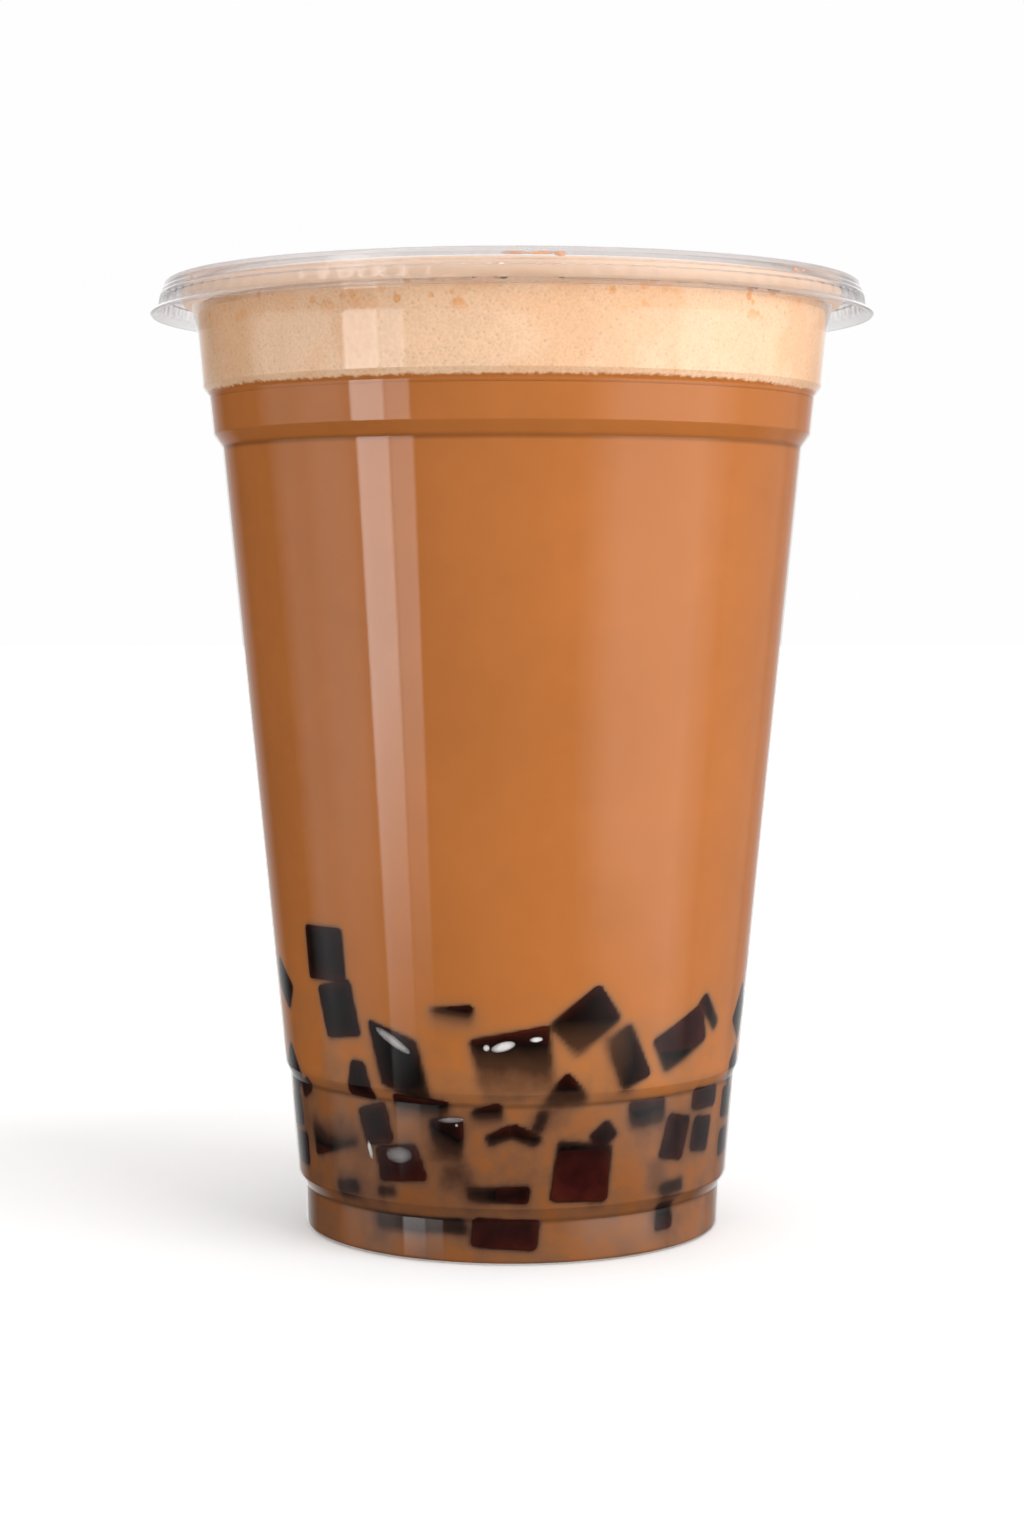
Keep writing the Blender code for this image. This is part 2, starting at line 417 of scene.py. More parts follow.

# %% [markdown]
# ## The jelly cubes
# Cubes of dark jelly lie at the bottom, and the ones against the wall are what is seen. They are
# soft, so a face that presses on the wall takes its curve, and a cube that leans away shows one
# crisp edge and then fades into the milky tea. A physics run could drop cubes into the cup, but it
# would not put them where the picture has them. So each is a bevelled cube, cut into a grid and
# bent round the wall, the ones of the shown side listed one by one and the others placed by a rule.

# %% Where the tea meets the wall
SKIN_DEPTH = 0.25 * MM
POKE = 0.07 * MM
skin = inset(outside, SKIN_DEPTH)
skin[0].x = 0
wall_start = next(i for i, point in enumerate(skin) if point.x > FOOT_RADIUS - 0.6 * MM)
wall_heights = [point.y for point in skin[wall_start:]]
wall_radii = [point.x for point in skin[wall_start:]]


def skin_radius(height):
    """The radius of the drink's surface at a height."""
    return float(np.interp(height, wall_heights, wall_radii))


def on_circle(azimuth, radius, height):
    """The place at an azimuth from the front, in radians, a radius and a height."""
    return (radius * math.sin(azimuth), -radius * math.cos(azimuth), height)


def merge_into(pile, bm):
    """Add one bmesh to another. A mesh carries it over, with its attributes."""
    mesh = bpy.data.meshes.new("carrier")
    bm.to_mesh(mesh)
    bm.free()
    pile.from_mesh(mesh)
    bpy.data.meshes.remove(mesh)


print(f"drink's radius half way up: {skin_radius(CUP_HEIGHT / 2) / MM:.1f} mm")

# %% One soft cube
CUBE_DEPTH = 7
CUBE_ROUNDING = 0.6
CUBE_WOBBLE = 0.04
GRID_CUTS = 7
THIN_EDGE = 0.5 * MM


def soft_cube(rng, width, tall, red):
    """A slightly crooked cube, rounded and cut into a grid. Sizes are in millimetres.

    Its attribute rim is 1 along the edges, where jelly is thin, and red is highest at its foot.
    """
    bm = bmesh.new()
    bmesh.ops.create_cube(bm, size=1)
    bmesh.ops.scale(bm, verts=bm.verts, vec=(width * MM, CUBE_DEPTH * MM, tall * MM))
    for vert in bm.verts:
        vert.co.x += rng.uniform(-CUBE_WOBBLE, CUBE_WOBBLE) * width * MM
        vert.co.z += rng.uniform(-CUBE_WOBBLE, CUBE_WOBBLE) * tall * MM
    rounding = min(CUBE_ROUNDING, 0.25 * min(width, tall)) * MM
    bmesh.ops.bevel(bm, geom=bm.edges, offset=rounding, affect="EDGES", segments=3, profile=0.5,
                    material=-1)
    long_edges = [edge for edge in bm.edges if edge.calc_length() > 1.5 * rounding]
    bmesh.ops.subdivide_edges(bm, edges=long_edges, cuts=GRID_CUTS, use_grid_fill=True)
    half = Vector((width, CUBE_DEPTH, tall)) * MM / 2
    rim_layer = bm.verts.layers.float.new("rim")
    red_layer = bm.verts.layers.float.new("red")
    for vert in bm.verts:
        gaps = sorted(half[axis] - abs(vert.co[axis]) for axis in range(3))
        vert[rim_layer] = math.exp(-max(gaps[1], 0) / THIN_EDGE)
        vert[red_layer] = red * (0.75 - 0.45 * vert.co.z / half.z)
    return bm


# %% A cube bent round the wall
LOWEST_JELLY = 1.2 * MM


def add_cube(pile, rng, angle, height, width, tall, spin, turn, nod, press, red, shear=0, taper=0):
    """Add one cube that is bent round the wall, at an angle from the front and a height.

    Sizes are in millimetres and angles in degrees. turn sinks its right side and nod its top.
    press is how far its nearest point would stand out of the drink, and red tints it. shear
    pushes its top to the right and taper narrows it, as on a cube that is seen from a corner.
    """
    bm = soft_cube(rng, width, tall, red)
    half = Vector((width, CUBE_DEPTH, tall)) * MM / 2
    across = math.radians(spin)
    placed = []
    for vert in bm.verts:
        x, y, z = vert.co
        x = x * (1 - taper * z / (2 * half.z)) + z * math.tan(math.radians(shear))
        side = x * math.cos(across) - z * math.sin(across)
        up = x * math.sin(across) + z * math.cos(across)
        depth = y + half.y + side * math.tan(math.radians(turn)) + up * math.tan(math.radians(nod))
        placed.append((vert, side, up, depth))
    nearest = min(depth for _, _, _, depth in placed)
    round_wall = skin_radius(height * MM)
    for vert, side, up, depth in placed:
        inwards = max(depth - nearest - press * MM, -POKE)
        level = max(height * MM + up, LOWEST_JELLY)
        azimuth = math.radians(angle) + side / round_wall
        vert.co = on_circle(azimuth, skin_radius(level) - inwards, level)
    merge_into(pile, bm)


# %% The shown cubes, listed one by one
# Each row is angle, height, width, tall, spin, turn, nod, press, red, and maybe shear and taper.
SHOWN = [
    (-48.5, 43.7, 8.6, 7.9, 1, 0, 0, 0.5, 0.1),
    (-45.2, 35.5, 7.4, 7.8, 11, 0, 0, 0.5, 0.0),
    (-72.4, 37.5, 7.0, 4.5, -32, 0, 0, 0.4, 0.1),
    (-27.8, 28.9, 8.8, 8.2, -20, 2, -2, 0.45, 0.0, -34, 0.1),
    (-14.2, 35.6, 6.5, 3.6, 5, -5, -34, 0.42, 0.1),
    (0.8, 29.2, 11.0, 9.0, 10, 0, -8, 0.3, 0.2),
    (-39.9, 25.9, 3.9, 5.4, -3, 0, 0, 0.4, 0.1, -4, 0.7),
    (-73.4, 24.5, 7.0, 5.5, 40, 0, 0, 0.4, 0.1),
    (-76.9, 18.6, 7.5, 5.0, 10, 0, 0, 0.4, 0.1),
    (-64.9, 22.7, 3.8, 2.4, 21, 0, 0, 0.3, 0.2),
    (-36.2, 19.4, 5.0, 5.5, 14, 0, 0, 0.5, 0.1),
    (-29.6, 14.2, 7.0, 5.2, 6, 0, 2, 0.3, 0.6, -8, 0.1),
    (-52.2, 16.9, 11.8, 5.0, 14, 0, 16, 0.3, 0.2),
    (-72.7, 12.8, 6.1, 4.5, 5, 0, 0, 0.4, 0.1),
    (-16.2, 18.1, 4.8, 6.4, 3, -7, -14, 0.6, 0.2),
    (-22.7, 22.2, 8.4, 3.4, -3, 0, -30, 0.4, 0.1),
    (-5.8, 21.7, 4.6, 3.0, 14, 0, -25, 0.35, 0.1),
    (-3.2, 18.8, 4.2, 1.9, 24, 0, -10, 0.2, 0.2),
    (3.0, 18.8, 4.8, 2.1, -28, 0, -12, 0.3, 0.1),
    (-3.6, 10.4, 9.2, 2.5, 0, -6, 0, 0.45, 0.1),
    (-25.4, 5.4, 14.5, 2.9, 2, -1, 0, -0.25, 0.3),
    (-1.8, 4.6, 9.5, 4.4, -2, 0, 0, 0.5, 0.7),
    (-47.2, 9.5, 5.0, 2.4, 9, 0, 0, -0.45, 0.2),
    (-33.6, 9.9, 3.4, 1.8, 6, 0, 0, -0.35, 0.4),
    (17.5, 35.0, 9.1, 6.5, 38, 0, -6, 0.45, 0.1),
    (28.3, 29.8, 5.1, 8.9, 26, -7, 0, 0.3, 0.1),
    (12.9, 23.8, 5.4, 5.8, -44, 0, -20, 0.5, 0.1),
    (7.0, 21.0, 1.7, 3.4, -22, 0, 0, -0.3, 0.2),
    (23.2, 18.5, 3.8, 3.2, 38, 0, 0, 0.1, 0.1),
    (17.9, 13.6, 8.2, 8.8, -6, 0, 4, 0.5, 1.0),
    (35.6, 21.1, 6.6, 4.0, 2, 0, -14, 0.25, 0.3),
    (45.1, 31.4, 10.3, 5.7, 24, 0, -4, 0.4, 0.9),
    (55.0, 34.6, 6.6, 2.2, -48, 6, 0, 0.3, 0.1),
    (77.0, 32.9, 6.2, 7.0, -40, 0, 0, 0.4, 0.1),
    (75.6, 24.9, 4.2, 5.0, 36, 0, 0, 0.4, 0.1),
    (58.3, 21.8, 7.0, 3.2, -3, 0, 0, 0.3, 0.2),
    (45.6, 16.9, 5.0, 6.6, -10, 0, 0, 0.4, 0.3, 5),
    (57.2, 16.4, 5.2, 5.1, -8, 0, -4, 0.35, 0.2),
    (75.1, 19.6, 6.1, 4.5, -9, 0, 0, 0.4, 0.1),
    (74.4, 13.8, 5.3, 3.8, 0, 0, 0, 0.4, 0.1),
    (44.8, 5.6, 3.4, 4.8, 3, 0, 12, 0.3, 0.3),
    (45.5, 9.6, 5.5, 2.4, 4, 0, 0, -0.3, 0.3),
    (-14.0, 13.0, 5.0, 3.6, 14, 0, 0, -1.0, 0.3),
    (40.0, 11.8, 4.0, 6.0, 10, 0, 0, -1.0, 0.4),
]

rng = random.Random(7)
jelly_bm = bmesh.new()
jelly_bm.verts.layers.float.new("rim")
jelly_bm.verts.layers.float.new("red")
for row in SHOWN:
    add_cube(jelly_bm, rng, *row)
print("shown cubes:", len(SHOWN))

# %% The cubes round the sides and the back
# They lie between two angles from the front. A crowding above 1 puts more of them low than high.
SEEDED_CUBES = 46
SIDES_AND_BACK = (84, 276)
CUBE_SIZES = (4.5, 9.0)
LOWEST_CUBE = 4
CUBE_RISE = 40
CROWDING = 1.6
taken = [(row[0], row[1], (row[2] + row[3]) / 2) for row in SHOWN]
while len(taken) < len(SHOWN) + SEEDED_CUBES:
    angle = rng.uniform(*SIDES_AND_BACK)
    height = LOWEST_CUBE + CUBE_RISE * rng.random() ** CROWDING
    size = rng.uniform(*CUBE_SIZES)
    round_wall = skin_radius(height * MM) / MM
    gaps = []
    for other_angle, other_height, other_size in taken:
        apart = math.radians((angle - other_angle + 180) % 360 - 180) * round_wall
        gaps.append(math.hypot(apart, height - other_height) - 0.52 * (size + other_size))
    if min(gaps) < 0:
        continue
    taken.append((angle, height, size))
    lean = rng.uniform(-7, 7) if rng.random() < 0.5 else 0
    nod = rng.uniform(-14, 6) if rng.random() < 0.5 else 0
    add_cube(jelly_bm, rng, angle, height, size, size * rng.uniform(0.6, 1.0), rng.uniform(-45, 45),
             lean, nod, rng.uniform(0.1, 0.5), rng.random() ** 2)
print("cubes against the wall:", len(taken))

# %% [markdown]
# ### The colour of the jelly
# The jelly is nearly black through its middle, and a little light gets through its thin edges and
# comes out red-brown. Subsurface scattering would show that too, but slowly and with noise. The two
# attributes that each cube was given, how near an edge a point is and how red the cube is, mix
# three dark colours instead.

# %% Jelly material
def make_jelly_material():
    """Near-black jelly whose thin edges let a red-brown light through."""
    material, tree, shader = principled("dark_jelly", Roughness=0.3, IOR=1.36)
    shader.inputs["Specular IOR Level"].default_value = 0.0
    red = add(tree, "ShaderNodeAttribute", attribute_name="red")
    rim = add(tree, "ShaderNodeAttribute", attribute_name="rim")
    body = blended(tree, red.outputs["Fac"], colour(10, 6, 5), colour(52, 16, 13))
    edge = blended(tree, rim.outputs["Fac"], body, colour(58, 21, 11))
    shade = clouds(tree, 4 * MM, 0.6, 1.6)
    tree.links.new(shaded(tree, edge, shade), shader.inputs["Base Color"])
    return material


bmesh.ops.recalc_face_normals(jelly_bm, faces=jelly_bm.faces)
jelly_tree = BVHTree.FromBMesh(jelly_bm)
jelly = finished("jelly_cubes", jelly_bm)
jelly.data.materials.append(make_jelly_material())
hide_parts("tea")
print("jelly faces:", len(jelly.data.polygons))

# %% [markdown]
# ## Painted glints between jelly and wall
# Where a cube doesn't quite touch the plastic, a little air is caught, and its surface shines almost
# white. That shine is a painted highlight. It could be left to the jelly's own gloss, but a glint is
# smaller than a cube and shines far more. So each is a near-white sphere pressed flat on the wall,
# and an attribute that falls from its middle to its outline drives its alpha, so that the painted
# highlight has no hard edge.

# %% Painted glints on air pockets
# Each row is angle, height, width, tall, spin and how strongly its painted highlight shines.
GLINT_ROWS = [
    (-29.0, 32.0, 6.6, 1.4, -31, 0.55),
    (-5.9, 31.6, 1.0, 1.0, 0, 0.7),
    (-2.0, 31.8, 3.6, 1.4, 16, 1.0),
    (5.6, 32.8, 1.9, 0.8, 5, 1.0),
    (-29.4, 15.4, 4.4, 2.4, 4, 0.28),
    (-38.2, 15.6, 0.8, 2.8, 12, 0.7),
    (-13.6, 20.3, 0.5, 0.5, 0, 0.5),
    (-14.9, 21.0, 4.0, 0.8, 4, 0.25),
    (128.0, 27.0, 3.0, 0.9, -20, 0.8),
    (204.0, 33.0, 2.4, 0.8, 15, 1.0),
    (250.0, 18.0, 1.2, 1.2, 0, 0.7),
]


# %% From rows to flat drops
DROP_THICKNESS = 0.12 * MM


def flat_drops(name, rows, radius_at):
    """Spheres pressed flat on a wall whose radius depends on the height, as one piece."""
    pile = bmesh.new()
    pile.verts.layers.float.new("shine")
    for angle, height, width, tall, spin, strength in rows:
        one = bmesh.new()
        bmesh.ops.create_uvsphere(one, u_segments=20, v_segments=12, radius=0.5)
        shine = one.verts.layers.float.new("shine")
        across = math.radians(spin)
        for vert in one.verts:
            x, y, z = vert.co
            vert[shine] = strength * (1 - min(1, 4 * (x * x + z * z)))
            side = (x * width * math.cos(across) - z * tall * math.sin(across)) * MM
            level = (height + x * width * math.sin(across) + z * tall * math.cos(across)) * MM
            radius = radius_at(level) - DROP_THICKNESS * y
            vert.co = on_circle(math.radians(angle) + side / radius, radius, level)
        merge_into(pile, one)
    bmesh.ops.recalc_face_normals(pile, faces=pile.faces)
    return finished(name, pile)


def drop_material(name, darkest, palest, roughness):
    """A cloudy colour between two, which fades out towards a drop's outline."""
    material, tree, shader = principled(name, Roughness=roughness, IOR=1.3)
    shine = add(tree, "ShaderNodeAttribute", attribute_name="shine")
    tree.links.new(spread(tree, shine.outputs["Fac"], 0.0, 0.8, 0, 0.85), shader.inputs["Alpha"])
    cloudy = blended(tree, clouds(tree, 1.5 * MM, 0.0, 1.0), darkest, palest)
    tree.links.new(cloudy, shader.inputs["Base Color"])
    return material


# Painted highlights: near-white drops that stand a tenth of a millimetre out of the drink's skin.
GLINT_STAND_OUT = 0.1 * MM
glints = flat_drops("painted_glints", GLINT_ROWS, lambda level: skin_radius(level) + GLINT_STAND_OUT)
glint_paint = drop_material("glint_paint", colour(205, 200, 198), colour(250, 248, 246), 0.25)
glints.data.materials.append(glint_paint)
print("air pockets:", len(GLINT_ROWS))

# %% [markdown]
# ## The milk tea
# Milk scatters light within a millimetre, so only what lies against the wall can be seen in it. A
# real volume would show that, at the price of a slow and noisy render. The skin of the drink is
# made instead, just inside the wall so that no air gap shows, and each of its points is told how
# near the jelly lies behind it. Rays sent inwards measure that distance, and the shade fades from
# tea to nearly black.

# %% Tea mesh
TEA_SIDES = 400
CLOSE_ROWS = 0.46 * MM
WIDE_ROWS = 3 * MM
BASE_EDGE = FOOT_RADIUS - 4 * MM


def skin_point(height):
    """The corner of the skin's outline at a height."""
    return Vector((skin_radius(height), height))


def tea_spacing(point):
    """Rows are close together where the jelly is, and wide apart elsewhere."""
    behind_wall = point.x > BASE_EDGE and point.y < JELLY_TOP
    return CLOSE_ROWS if behind_wall else WIDE_ROWS


tea_wall = (
    [point for point in skin if point.y < JELLY_TOP]
    + [skin_point(JELLY_TOP)]
    + [point for point in skin if JELLY_TOP < point.y < TEA_LEVEL]
    + [skin_point(TEA_LEVEL + 0.6 * MM)]
)
tea_bm = spun(dense(tea_wall, tea_spacing) + [Vector((0, TEA_LEVEL))], TEA_SIDES)
murk_layer = tea_bm.verts.layers.float.new("murk")
tea_bm.normal_update()
print("points of the tea's skin:", len(tea_bm.verts))

# %% How near the jelly is, seen from each point of the skin
START = 0.25 * MM
FADE = 0.95 * MM
REACH = 9 * MM
FAN = [(0, 0)] + [
    (math.radians(tilt), math.tau * (index + shift) / 6)
    for tilt, shift in ((17, 0), (38, 0.5))
    for index in range(6)
]


def murk_at(point, normal):
    """A share from 0, no jelly near, to 1, jelly right behind the surface."""
    side = normal.orthogonal().normalized()
    other = normal.cross(side)
    start = point + normal * START
    total = 0
    for tilt, around in FAN:
        sideways = side * math.cos(around) + other * math.sin(around)
        ray = sideways * math.sin(tilt) - normal * math.cos(tilt)
        _, _, _, distance = jelly_tree.ray_cast(start, ray, REACH)
        if distance is not None:
            total += math.exp(-max(distance - START, 0) / FADE)
    return total / len(FAN)


murky = 0
for vert in tea_bm.verts:
    if vert.co.z < JELLY_TOP and vert.co.xy.length > BASE_EDGE:
        vert[murk_layer] = murk_at(vert.co, vert.normal)
        murky += vert[murk_layer] > 0.02
tea = finished("milk_tea", tea_bm)
print("tea faces:", len(tea.data.polygons), "points with jelly behind them:", murky)

# %% [markdown]
# ### The colour of the tea and its painted shade
# Tea with milk is one warm brown as long as nothing lies behind it. Towards the jelly a ramp takes
# it through grey-brown to nearly black. Among the cubes less light gets about, so a second ramp over
# the height paints that shade in, dim and greyer low down. Hardly any light reaches the inner corners
# of the steps, so they get painted shade as darker lines, and faces that look down, beneath a step,
# are painted a little darker too. Lamps alone would do little of this, because the skin is a painted
# surface and not the depth of real tea. Slow and fine clouds keep the rest from looking like paint.

# %% Painted shade of the tea over its height
TEA_COLOUR = colour(179, 109, 55)
CREASES = (6.4 * MM, 23.1 * MM, 116.0 * MM)
DIM_UP_TO = 30 * MM


def dimmed(tree, level):
    """A shade that is dim and grey among the cubes and full above them."""
    dim = ramp(tree, [
        (0.0, (0.64, 0.69, 0.88, 1)),
        (0.22, (0.58, 0.62, 0.79, 1)),
        (0.28, (0.56, 0.58, 0.70, 1)),
        (0.75, (0.67, 0.69, 0.79, 1)),
        (0.86, (1, 1, 1, 1)),
    ])
    tree.links.new(spread(tree, level, 0, DIM_UP_TO), dim.inputs["Fac"])
    return dim.outputs["Color"]


def creased(tree, level):
    """A shade that is darker on the height of each inner corner."""
    shade = 1.0
    for height in CREASES:
        away = combined(tree, "ABSOLUTE", combined(tree, "SUBTRACT", level, height), 0)
        one = spread(tree, away, 0.1 * MM, 0.55 * MM, 0.62, 1.0)
        shade = combined(tree, "MULTIPLY", one, shade)
    return shade


# %% Tea material
def make_tea_material():
    """Milky tea, slightly uneven, painted dimmer low down and at the steps, and grey-brown to black near
    jelly.
    """
    material, tree, shader = principled("milk_tea", Roughness=0.5, IOR=1.34)
    shader.inputs["Specular IOR Level"].default_value = 0.0
    place = add(tree, "ShaderNodeTexCoord")
    axes = add(tree, "ShaderNodeSeparateXYZ")
    tree.links.new(place.outputs["Object"], axes.inputs[0])
    level = axes.outputs["Z"]

    murk = add(tree, "ShaderNodeAttribute", attribute_name="murk")
    # Slow clouds make darker patches below 40 mm, at full strength from 20 mm down.
    low_share = spread(tree, level, 40 * MM, 20 * MM)
    low_dark_patches = combined(tree, "MULTIPLY", clouds(tree, 7 * MM, -0.10, 0.26), low_share)
    near = combined(tree, "ADD", murk.outputs["Fac"], combined(tree, "MAXIMUM", low_dark_patches, 0))
    fade = ramp(tree, [
        (0.0, TEA_COLOUR),
        (0.12, colour(160, 105, 64)),
        (0.28, colour(134, 90, 60)),
        (0.6, colour(72, 47, 32)),
        (1.0, colour(16, 10, 8)),
    ])
    tree.links.new(near, fade.inputs["Fac"])

    # Painted shade: faces that look down, beneath a step, are up to 8 per cent darker.
    facing = add(tree, "ShaderNodeNewGeometry")
    normal = add(tree, "ShaderNodeSeparateXYZ")
    tree.links.new(facing.outputs["Normal"], normal.inputs[0])
    under = spread(tree, normal.outputs["Z"], -0.8, -0.3, 0.92, 1.0)

    # Painted shade: dimmer and greyer low down, and darker beneath the steps and in their inner corners.
    lit = shaded(tree, shaded(tree, fade.outputs["Color"], dimmed(tree, level)), under)
    lit = shaded(tree, lit, creased(tree, level))
    wide = clouds(tree, 30 * MM, 0.95, 1.05)
    fine = clouds(tree, 5 * MM, 0.975, 1.025)
    tree.links.new(shaded(tree, shaded(tree, lit, wide), fine), shader.inputs["Base Color"])
    return material


tea.data.materials.append(make_tea_material())
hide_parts("tea")
print("nodes in the tea's material:", len(tea.data.materials[0].node_tree.nodes))

# %% [markdown]
# ## The head of foam
# Shaken milk tea carries a head of fine foam, as opaque as the tea. Its top is a field of bubbles.
# Real bubbles could be thousands of tiny spheres, but under a lid only their domes show, so the
# close rows of a turned mesh are lifted by seeded domes.

# %% Foam mesh
FOAM_SIDES = 320
FOAM_EDGE = TEA_LEVEL - 1 * MM
FOAM_STAND_OUT = 0.03 * MM
foam_start = next(i for i, point in enumerate(skin) if point.y > FOAM_EDGE)
foam_end = next(i for i, point in enumerate(skin) if point.y > FOAM_TOP - 2.2 * MM)
foam_level = FOAM_TOP - 0.5 * MM
foam_outline = dense(
    [Vector((skin_radius(FOAM_EDGE) + FOAM_STAND_OUT, FOAM_EDGE))]
    + [point + Vector((FOAM_STAND_OUT, 0)) for point in skin[foam_start:foam_end]]
    + [Vector((RIM_INNER - 0.2 * MM, FOAM_TOP - 0.9 * MM))]
    + [Vector((RIM_INNER - 0.9 * MM, foam_level)), Vector((0, foam_level))],
    lambda point: 0.5 * MM if point.y < FOAM_TOP - 1 * MM else 0.8 * MM,
)
foam_bm = spun([Vector((0, FOAM_EDGE)), Vector((40 * MM, FOAM_EDGE))] + foam_outline, FOAM_SIDES)

# %% Bubbles on top of the foam
BUBBLES = 900
BUBBLE_FIELD = 46
bubbles = [
    (
        rng.uniform(-BUBBLE_FIELD, BUBBLE_FIELD) * MM,
        rng.uniform(-BUBBLE_FIELD, BUBBLE_FIELD) * MM,
        (0.5 + 2.0 * rng.random() ** 3) * MM,
    )
    for _ in range(BUBBLES)
]
bubble_x, bubble_y, bubble_size = (np.array(values) for values in zip(*bubbles))
for vert in foam_bm.verts:
    x, y, z = vert.co
    if z > FOAM_TOP - 1 * MM:
        reach = 1 - ((x - bubble_x) ** 2 + (y - bubble_y) ** 2) / bubble_size ** 2
        dome = float(np.max(np.sqrt(np.clip(reach, 0, 1)) * bubble_size)) * 0.45
        swell = noise.noise(vert.co / (11 * MM)) * 0.5 * MM
        vert.co.z = min(z + dome - 0.7 * MM + swell, FOAM_TOP)
foam_bm.normal_update()
foam = finished("foam_head", foam_bm)
print("foam faces:", len(foam.data.polygons))

# %% [markdown]
# ### The colour of the foam
# Close up, foam is thousands of tiny holes in a peach-coloured cream, with some larger and warmer
# bubbles just under its top. Cell textures make both: each cell is one bubble, and a random number
# that comes with it picks the few that show. The holes are painted shade, up to 15 per cent darker,
# and they bump the surface too. Where foam meets tea the line is ragged, in bubbles far finer than
# any row of the mesh, so the material draws it too: a fine noise moves the height at which one turns
# into the other.

# %% Bubbles and the ragged line, as shares
BUBBLES_FROM = 132.2 * MM
BUBBLES_FULL = 133.6 * MM


def cells(tree, place, size):
    """A cell texture in Object coordinates."""
    texture = add(tree, "ShaderNodeTexVoronoi", Scale=1 / size)
    tree.links.new(place.outputs["Object"], texture.inputs["Vector"])
    return texture


def few_bubbles(tree, place, size, luck, reach):
    """Round spots in those cells whose random number is above luck."""
    texture = cells(tree, place, size)
    numbers = add(tree, "ShaderNodeSeparateColor")
    tree.links.new(texture.outputs["Color"], numbers.inputs[0])
    kept = combined(tree, "GREATER_THAN", numbers.outputs[0], luck)
    return combined(tree, "MULTIPLY", kept, spread(tree, texture.outputs["Distance"], reach, 0.30))


def above_the_tea(tree, place, level):
    """1 in the foam and 0 below its ragged line, which also wanders up and down slowly."""
    line = level
    for size, detail, height in ((0.9 * MM, 3.0, 0.9 * MM), (16 * MM, 1.0, 0.8 * MM)):
        texture = add(tree, "ShaderNodeTexNoise", Scale=1 / size, Detail=detail)
        tree.links.new(place.outputs["Object"], texture.inputs["Vector"])
        line = combined(tree, "ADD", combined(tree, "MULTIPLY", texture.outputs["Fac"], height), line)
    return spread(tree, line, TEA_LEVEL + 0.7 * MM, TEA_LEVEL + 1.0 * MM)


# %% Foam material
def make_foam_material():
    """Pale peach foam with pinholes, warmer bubbles near its top, and a ragged lower line."""
    material, tree, shader = principled("milk_foam", Roughness=0.55, IOR=1.34)
    shader.inputs["Specular IOR Level"].default_value = 0.0
    place = add(tree, "ShaderNodeTexCoord")
    axes = add(tree, "ShaderNodeSeparateXYZ")
    tree.links.new(place.outputs["Object"], axes.inputs[0])
    level = axes.outputs["Z"]

    large = few_bubbles(tree, place, 3.4 * MM, 0.5, 0.42)
    small = few_bubbles(tree, place, 1.5 * MM, 0.66, 0.46)
    high = spread(tree, level, BUBBLES_FROM, BUBBLES_FULL)
    gathered = spread(tree, clouds(tree, 22 * MM, 0.0, 1.0), 0.35, 0.6)
    patch = combined(tree, "MULTIPLY", combined(tree, "MAXIMUM", large, small), high)
    patch = combined(tree, "MULTIPLY", patch, gathered)

    warmer = spread(tree, clouds(tree, 12 * MM, 0.0, 1.0), 0.4, 0.65)
    body = blended(tree, warmer, colour(239, 200, 165), colour(232, 188, 150))
    warm = blended(tree, patch, body, colour(232, 172, 122))
    mottle = shaded(tree, warm, clouds(tree, 6 * MM, 0.93, 1.02))
    holes = cells(tree, place, 0.9 * MM).outputs["Distance"]
    grains = cells(tree, place, 0.4 * MM).outputs["Distance"]
    # Painted shade: the holes are up to 15 per cent darker; a finer grain varies the tone at random.
    bubbly = shaded(tree, mottle, spread(tree, holes, 0.08, 0.32, 0.85, 1.0))
    bubbly = shaded(tree, bubbly, spread(tree, grains, 0.1, 0.7, 0.92, 1.03))
    above = above_the_tea(tree, place, level)
    tree.links.new(blended(tree, above, TEA_COLOUR, bubbly), shader.inputs["Base Color"])

    bump = add(tree, "ShaderNodeBump", Strength=0.25, Distance=0.2 * MM)
    tree.links.new(holes, bump.inputs["Height"])
    tree.links.new(bump.outputs["Normal"], shader.inputs["Normal"])
    return material


foam.data.materials.append(make_foam_material())
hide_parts("foam")
print("nodes in the foam's material:", len(foam.data.materials[0].node_tree.nodes))

# %% [markdown]
# ## The clear lid
# The lid is pressed from clear sheet: a sunken panel, a raised ring that sits over the rim, a skirt
# with fine ribs for the fingers and a flared lip. The ribs could be a bump in the material, but a
# rib that is shape shows in the outline and in the mesh itself. So the outline is spun with four
# columns to a rib, and the skirt's points are then drawn inwards where a groove is.

# %% Lid mesh
RIBS = 96
COLUMNS_PER_RIB = 4
RIB_DEPTH = 0.26 * MM
RIBS_TOP = 138.1 * MM
RIBS_FOOT = 136.2 * MM
PANEL_RADIUS = 45.0 * MM
PANEL_LEVEL = LID_TOP - 1.2 * MM

# Each row is radius, height and fillet, in millimetres, of two crisp ledges and of the skirt's foot.
SKIRT = [
    (51.55, 139.05, 0.1),
    (51.75, 138.85, 0.1),
    (51.8, 138.35, 0.1),
    (52.0, 138.15, 0.1),
    (52.3, 136.4, 0.3),
]
upper = (
    [(0, PANEL_LEVEL, 0), (PANEL_RADIUS, PANEL_LEVEL, 0.5 * MM)]
    + [(PANEL_RADIUS + 0.6 * MM, LID_TOP, 0.5 * MM), (51.4 * MM, LID_TOP, 0.8 * MM)]
    + [tuple(value * MM for value in row) for row in SKIRT]
    + [(LIP_RADIUS, LIP_HEIGHT + 0.3 * MM, 0)]
)
top_side = dense(rounded(upper, 4), lambda point: 0.6 * MM if point.x > 51 * MM else 12 * MM)
under_side = inset(top_side, -LID_SHEET)
under_side[0].x = 0
